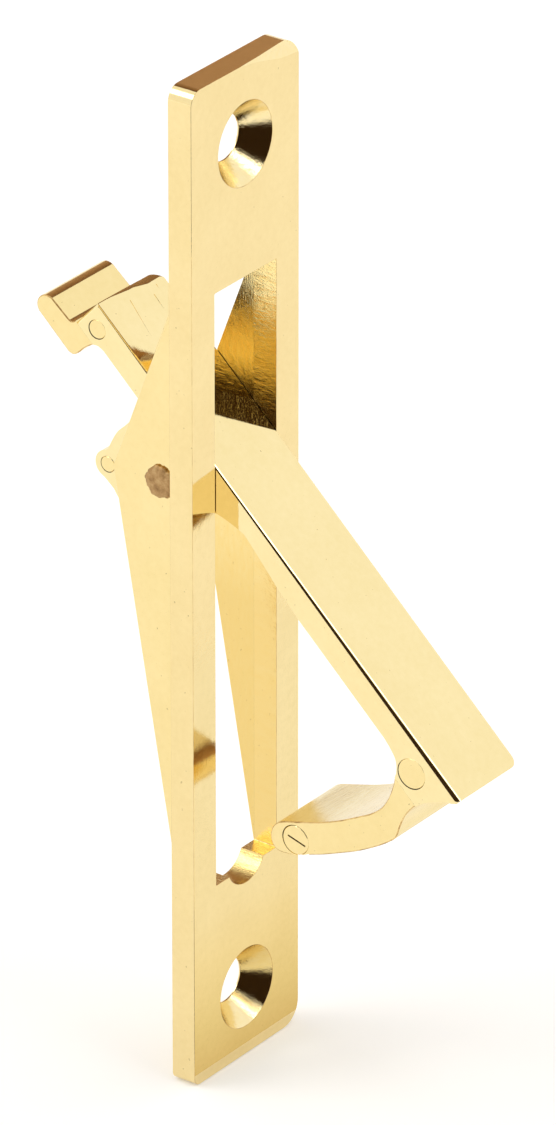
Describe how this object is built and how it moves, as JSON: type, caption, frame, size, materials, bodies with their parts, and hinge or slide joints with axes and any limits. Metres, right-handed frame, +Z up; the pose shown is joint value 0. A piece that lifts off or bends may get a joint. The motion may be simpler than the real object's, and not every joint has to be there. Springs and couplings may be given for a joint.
{
  "type": "pocket door edge pull",
  "caption": "Mortise edge pull for a sliding door: slotted face plate with a rivet-hung lever that swings out, carrying a thumb lip and a curved finger hook.",
  "frame": {"origin": "centre of the face plate's front face, on the door's edge", "axes": "+X across the plate, +Y into the door, +Z up the plate"},
  "size_m": [0.0158, 0.0462, 0.0984],
  "materials": {
    "plate_brass": "mirror polished, brass plated",
    "cheek_brass": "polished outside, brushed inside, brass plated",
    "lever_brass": "mirror polished, brass plated",
    "hook_brass": "polished, brass plated",
    "pin_brass": "polished, brass plated",
    "screw_brass": "polished, brass plated",
    "bare_rivet": "bare peened end, dull"
  },
  "bodies": {
    "plate": {"face_plate": "plate_brass", "left_cheek": "cheek_brass", "right_cheek": "cheek_brass", "pivot_rivet": "bare_rivet"},
    "lever": {"lever_bar": "lever_brass", "top_hook": "hook_brass", "top_hook_pin": "pin_brass", "finger_hook": "hook_brass", "finger_hook_pin": "pin_brass", "cross_screw": "screw_brass", "tail_pin": "pin_brass"}
  },
  "joints": [
    {"name": "lever_hinge", "type": "hinge", "parent": "plate", "child": "lever", "pos_m": [0, 0.00425, 0.0103], "axis": [1, 0, 0], "range_deg": [0, 46.5]}
  ]
}
